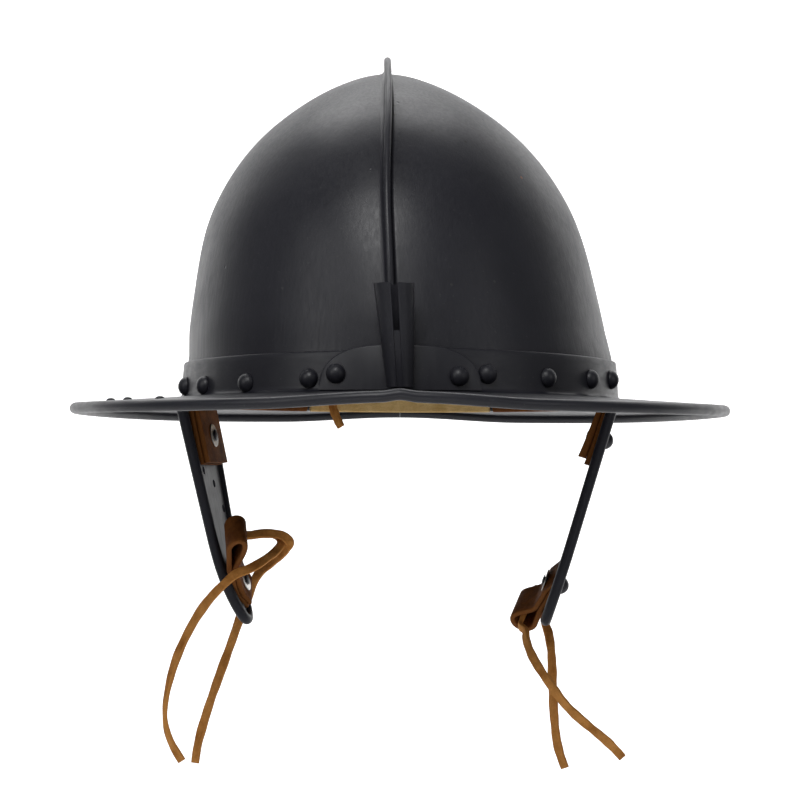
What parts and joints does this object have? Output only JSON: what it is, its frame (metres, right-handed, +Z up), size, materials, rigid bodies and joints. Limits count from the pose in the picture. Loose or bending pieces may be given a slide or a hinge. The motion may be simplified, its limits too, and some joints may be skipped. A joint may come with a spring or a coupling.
{
  "type": "pikeman pot helmet",
  "caption": "Black steel pikeman's pot: combed skull, wide rolled brim, plume holder and hanging cheek pieces with leather thongs.",
  "frame": {"origin": "middle of the head opening, in the plane of the brim's rolled edge", "axes": "+Z up through the crown, +Y to the wearer's front, -Y to the plume holder, +X to the wearer's right"},
  "size_m": [0.3172, 0.356, 0.3437],
  "materials": {
    "black_paint": "satin black paint, brushed, on plate steel",
    "bright_steel": "bare steel washers",
    "strap_leather": "dark brown strap leather",
    "thong_leather": "tan-brown thong leather",
    "liner_leather": "tan liner leather"
  },
  "bodies": {
    "root": {"band_rivet_left_1": "black_paint", "band_rivet_left_2": "black_paint", "band_rivet_left_3": "black_paint", "band_rivet_left_4": "black_paint", "band_rivet_left_5": "black_paint", "band_rivet_left_6": "black_paint", "band_rivet_left_7": "black_paint", "band_rivet_left_8": "black_paint", "band_rivet_right_1": "black_paint", "band_rivet_right_2": "black_paint", "band_rivet_right_3": "black_paint", "band_rivet_right_4": "black_paint", "band_rivet_right_5": "black_paint", "band_rivet_right_6": "black_paint", "band_rivet_right_7": "black_paint", "band_rivet_right_8": "black_paint", "brim_left": "black_paint", "brim_right": "black_paint", "brim_rivet_1": "black_paint", "brim_rivet_2": "black_paint", "brim_rivet_3": "black_paint", "cheek_left": "black_paint", "cheek_right": "black_paint", "hinge_rivet_left": "black_paint", "hinge_rivet_left_washer": "bright_steel", "hinge_rivet_right": "black_paint", "hinge_rivet_right_washer": "bright_steel", "hinge_strap_left": "strap_leather", "hinge_strap_right": "strap_leather", "holder_rivet_left": "black_paint", "holder_rivet_right": "black_paint", "liner_front": "liner_leather", "plume_holder": "black_paint", "skull_left": "black_paint", "skull_right": "black_paint", "tab_loop_left": "strap_leather", "tab_loop_right": "strap_leather", "tab_rivet_left": "black_paint", "tab_rivet_left_washer": "bright_steel", "tab_rivet_right": "black_paint", "tab_rivet_right_washer": "bright_steel", "thong_left_long": "thong_leather", "thong_left_short": "thong_leather", "thong_liner": "thong_leather", "thong_right_long": "thong_leather", "thong_right_short": "thong_leather"}
  },
  "joints": []
}
